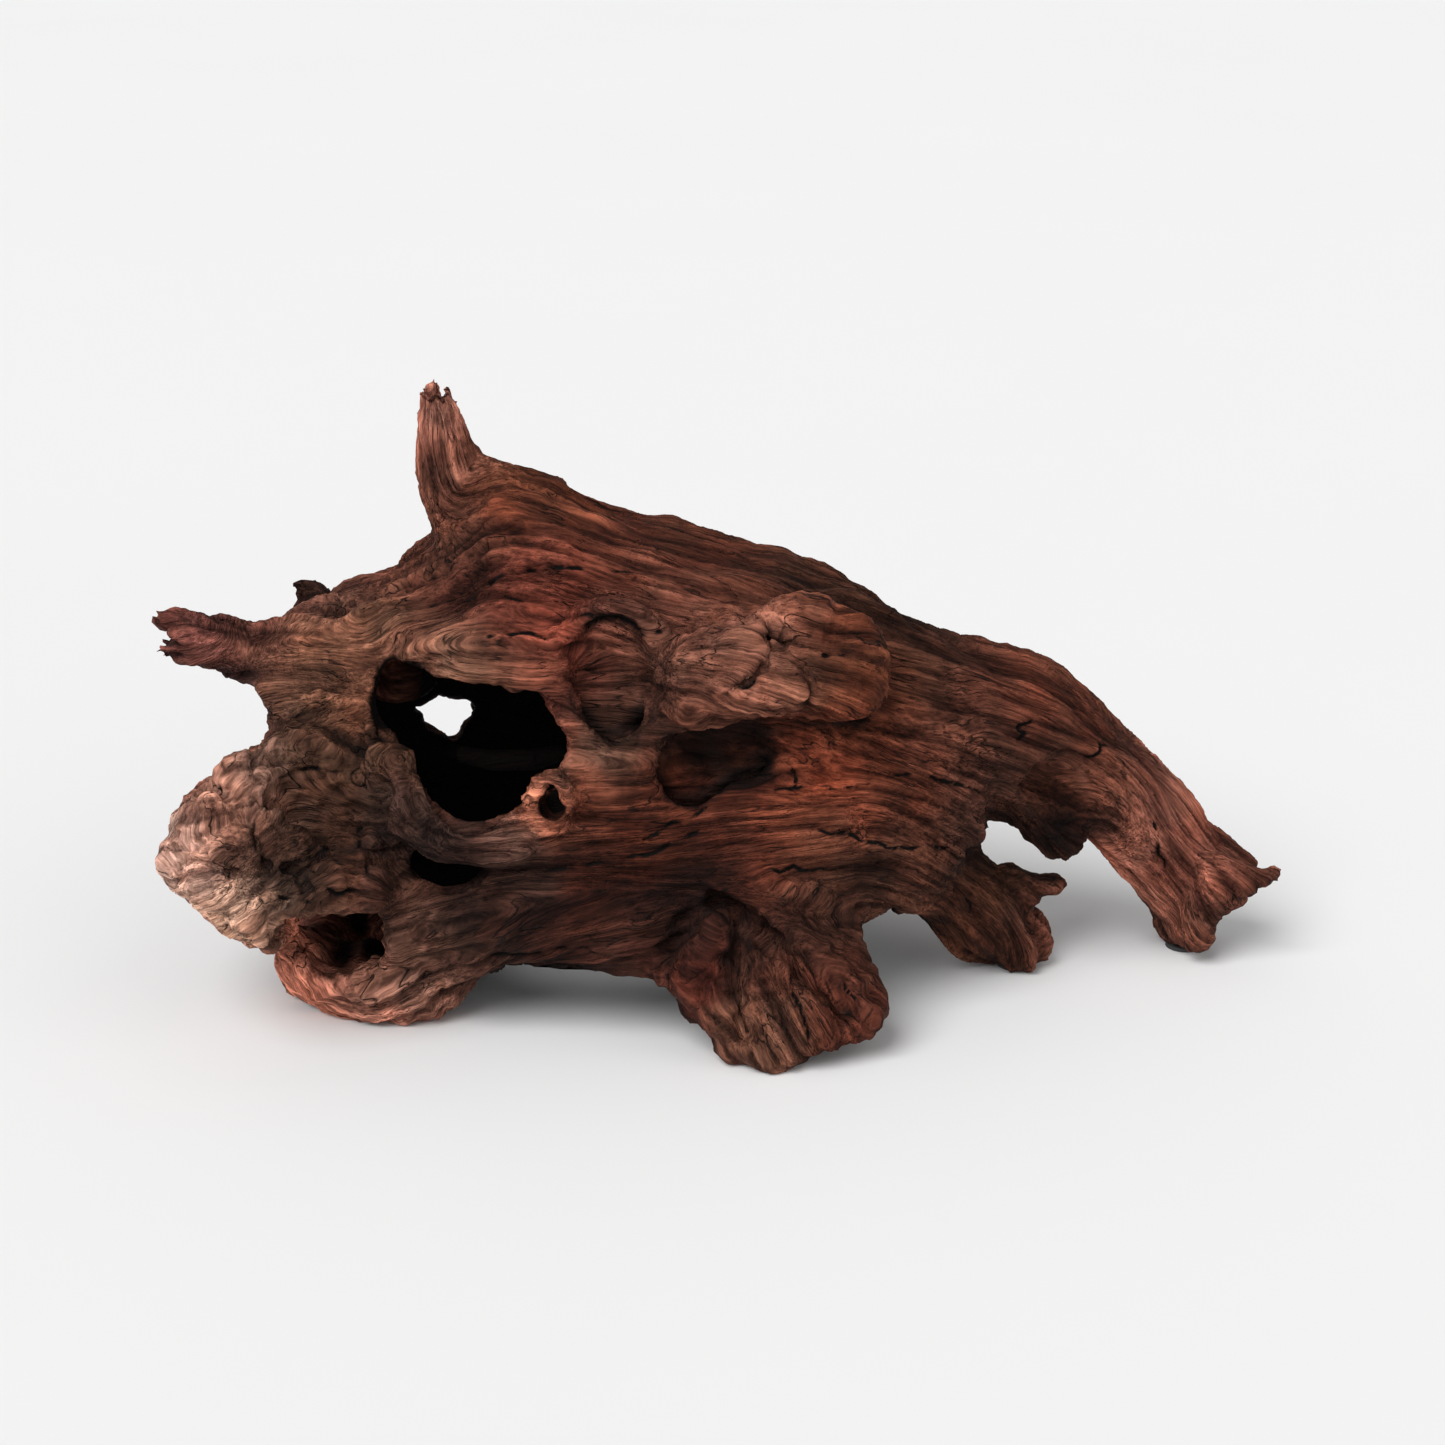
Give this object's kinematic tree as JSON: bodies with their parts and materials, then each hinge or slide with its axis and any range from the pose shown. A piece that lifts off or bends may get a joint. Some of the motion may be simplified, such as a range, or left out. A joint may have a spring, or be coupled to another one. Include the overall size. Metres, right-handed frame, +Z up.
{
  "type": "aquarium cave ornament",
  "caption": "Hollow driftwood-root cave ornament with a front cave mouth, a rear window, broken branch stubs, root legs and feet; stands free on a tank floor.",
  "frame": {"origin": "on the ground, under the middle of the whole ornament", "axes": "+Z up, +X to the right along the ornament, the cave mouth faces -Y"},
  "size_m": [0.4028, 0.1836, 0.2195],
  "materials": {
    "root_resin": "matte",
    "stub_resin": "matte",
    "leg_resin": "matte",
    "dowel_plastic": "satin",
    "pad_rubber": "matte"
  },
  "bodies": {
    "root": {"front_shell": "root_resin", "rear_shell": "root_resin", "burl_knot": "root_resin", "brow_burl": "root_resin", "mouth_rim_root": "root_resin", "mouth_knot": "root_resin", "upright_branch_stub": "stub_resin", "left_branch_stub": "stub_resin", "rear_twig_stub": "stub_resin", "right_root": "leg_resin", "hanging_root": "root_resin", "forked_root": "root_resin", "front_foot_root": "root_resin", "left_foot_root": "root_resin", "rear_foot_root": "root_resin", "root_dowels": "dowel_plastic", "seam_dowels": "dowel_plastic", "foot_pads": "pad_rubber"}
  },
  "joints": []
}
